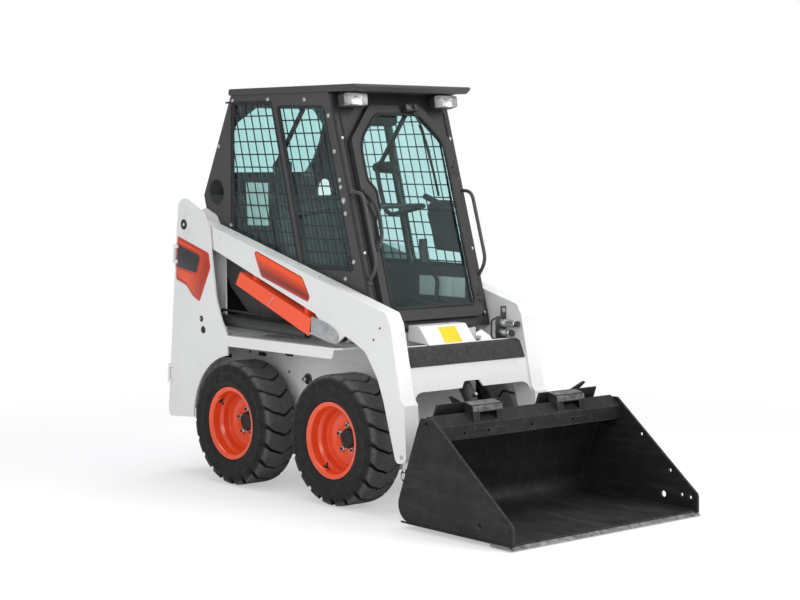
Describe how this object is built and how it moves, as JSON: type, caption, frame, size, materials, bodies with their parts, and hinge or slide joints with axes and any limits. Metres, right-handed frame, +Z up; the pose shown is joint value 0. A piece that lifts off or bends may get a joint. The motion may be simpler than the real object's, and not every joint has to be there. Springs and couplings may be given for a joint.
{
  "type": "skid steer loader",
  "caption": "Compact skid steer loader: rigid frame on four wheels, hollow glazed cab, lift arms raised by cylinders, tilting bucket, hinged door, tailgate and seat bar.",
  "frame": {"origin": "on the ground under the middle of the whole machine, bucket lowered", "axes": "+X to the machine's left, -Y forward, +Z up"},
  "size_m": [1.118, 2.448, 1.814],
  "materials": {
    "white_paint": "gloss",
    "black_paint": "satin",
    "bucket_black": "satin",
    "orange_paint": "gloss",
    "tyre_rubber": "matt",
    "worn_steel": "worn",
    "rod_chrome": "polished",
    "tinted_glass": "clear tint",
    "pad_rubber": "matt",
    "seat_vinyl": "matt",
    "lamp_lens": "clear",
    "cab_plastic": "matt grained",
    "red_lens": "gloss",
    "engine_grey": "matt"
  },
  "bodies": {
    "chassis": {"main_frame": "white_paint", "engine_block": "engine_grey", "side_frame_left": "white_paint", "side_frame_right": "white_paint", "rear_grille": "black_paint", "cab_side_left": "black_paint", "cab_side_right": "black_paint", "cab_roof": "black_paint", "cab_rear_wall": "black_paint", "cab_front_frame": "black_paint", "cab_floor": "black_paint", "side_glass": "tinted_glass", "rear_glass": "tinted_glass", "work_lights": "lamp_lens", "grab_handles": "black_paint", "seat": "seat_vinyl", "seat_bar_pivots": "black_paint", "side_screens": "black_paint", "controls": "cab_plastic"},
    "wheel_front_left": {"tyre_front_left": "tyre_rubber", "rim_front_left": "orange_paint", "wheel_hub_front_left": "black_paint"},
    "wheel_front_right": {"tyre_front_right": "tyre_rubber", "rim_front_right": "orange_paint", "wheel_hub_front_right": "black_paint"},
    "wheel_rear_left": {"tyre_rear_left": "tyre_rubber", "rim_rear_left": "orange_paint", "wheel_hub_rear_left": "black_paint"},
    "wheel_rear_right": {"tyre_rear_right": "tyre_rubber", "rim_rear_right": "orange_paint", "wheel_hub_rear_right": "black_paint"},
    "arms": {"lift_arms": "white_paint", "step_pad": "pad_rubber", "tilt_cover": "white_paint", "hose_couplings": "worn_steel", "arm_strut": "orange_paint"},
    "lift_barrel_left": {"lift_barrel_left": "black_paint"},
    "lift_rod_left": {"lift_rod_left": "rod_chrome"},
    "lift_barrel_right": {"lift_barrel_right": "black_paint"},
    "lift_rod_right": {"lift_rod_right": "rod_chrome"},
    "tilt_barrel": {"tilt_barrel": "black_paint"},
    "tilt_rod": {"tilt_rod": "rod_chrome"},
    "bucket": {"coupler": "bucket_black", "bucket": "bucket_black", "cutting_edge": "worn_steel", "coupler_levers": "bucket_black"},
    "door": {"door_frame": "black_paint", "door_glass": "tinted_glass"},
    "tailgate": {"tailgate": "white_paint", "tail_lights": "red_lens"},
    "seat_bar": {"seat_bar": "black_paint"}
  },
  "joints": [
    {"name": "wheel_front_left_roll", "type": "hinge", "parent": "chassis", "child": "wheel_front_left", "pos_m": [0.35, -0.021, 0.285], "axis": [1, 0, 0], "continuous": true},
    {"name": "wheel_front_right_roll", "type": "hinge", "parent": "chassis", "child": "wheel_front_right", "pos_m": [-0.35, -0.021, 0.285], "axis": [1, 0, 0], "continuous": true},
    {"name": "wheel_rear_left_roll", "type": "hinge", "parent": "chassis", "child": "wheel_rear_left", "pos_m": [0.35, 0.701, 0.285], "axis": [1, 0, 0], "continuous": true},
    {"name": "wheel_rear_right_roll", "type": "hinge", "parent": "chassis", "child": "wheel_rear_right", "pos_m": [-0.35, 0.701, 0.285], "axis": [1, 0, 0], "continuous": true},
    {"name": "arms_lift", "type": "hinge", "parent": "chassis", "child": "arms", "pos_m": [0, 1.058, 1.186], "axis": [-1, 0, 0], "range_deg": [0, 75]},
    {"name": "bucket_tilt", "type": "hinge", "parent": "arms", "child": "bucket", "pos_m": [0, -0.451, 0.18], "axis": [1, 0, 0], "range_deg": [-25, 114]},
    {"name": "lift_barrel_left_swing", "type": "hinge", "parent": "chassis", "child": "lift_barrel_left", "pos_m": [0.385, 0.936, 0.75], "axis": [-1, 0, 0], "range_deg": [0, 69]},
    {"name": "lift_rod_left_slide", "type": "slide", "parent": "lift_barrel_left", "child": "lift_rod_left", "axis": [0, -0.9998, -0.0212], "range_m": [0, 0.54]},
    {"name": "lift_barrel_right_swing", "type": "hinge", "parent": "chassis", "child": "lift_barrel_right", "pos_m": [-0.385, 0.936, 0.75], "axis": [-1, 0, 0], "range_deg": [0, 69]},
    {"name": "lift_rod_right_slide", "type": "slide", "parent": "lift_barrel_right", "child": "lift_rod_right", "axis": [0, -0.9998, -0.0212], "range_m": [0, 0.54]},
    {"name": "tilt_barrel_swing", "type": "hinge", "parent": "arms", "child": "tilt_barrel", "pos_m": [0, -0.236, 0.725], "axis": [1, 0, 0], "range_deg": [-12, 12]},
    {"name": "tilt_rod_slide", "type": "slide", "parent": "tilt_barrel", "child": "tilt_rod", "axis": [0, -0.5592, -0.829], "range_m": [-0.06, 0.25]},
    {"name": "door_swing", "type": "hinge", "parent": "chassis", "child": "door", "pos_m": [0.294, -0.06652, 1.204], "axis": [0, 0.2857, 0.9583], "range_deg": [0, 90]},
    {"name": "tailgate_swing", "type": "hinge", "parent": "chassis", "child": "tailgate", "pos_m": [-0.444, 1.1849, 0.7], "axis": [0, -0.0901, 0.9959], "range_deg": [0, 95]},
    {"name": "seat_bar_lift", "type": "hinge", "parent": "chassis", "child": "seat_bar", "pos_m": [0, 0.536, 1.452], "axis": [-1, 0, 0], "range_deg": [0, 58]}
  ],
  "couplings": [
    {"joint": "lift_barrel_left_swing", "follows": "arms_lift", "ratio": 0.8988},
    {"joint": "lift_rod_left_slide", "follows": "arms_lift", "m_per_rad": 0.4039},
    {"joint": "lift_barrel_right_swing", "follows": "arms_lift", "ratio": 0.8988},
    {"joint": "lift_rod_right_slide", "follows": "arms_lift", "m_per_rad": 0.4039},
    {"joint": "tilt_barrel_swing", "follows": "bucket_tilt", "ratio": 0.072286},
    {"joint": "tilt_rod_slide", "follows": "bucket_tilt", "m_per_rad": 0.11885}
  ]
}
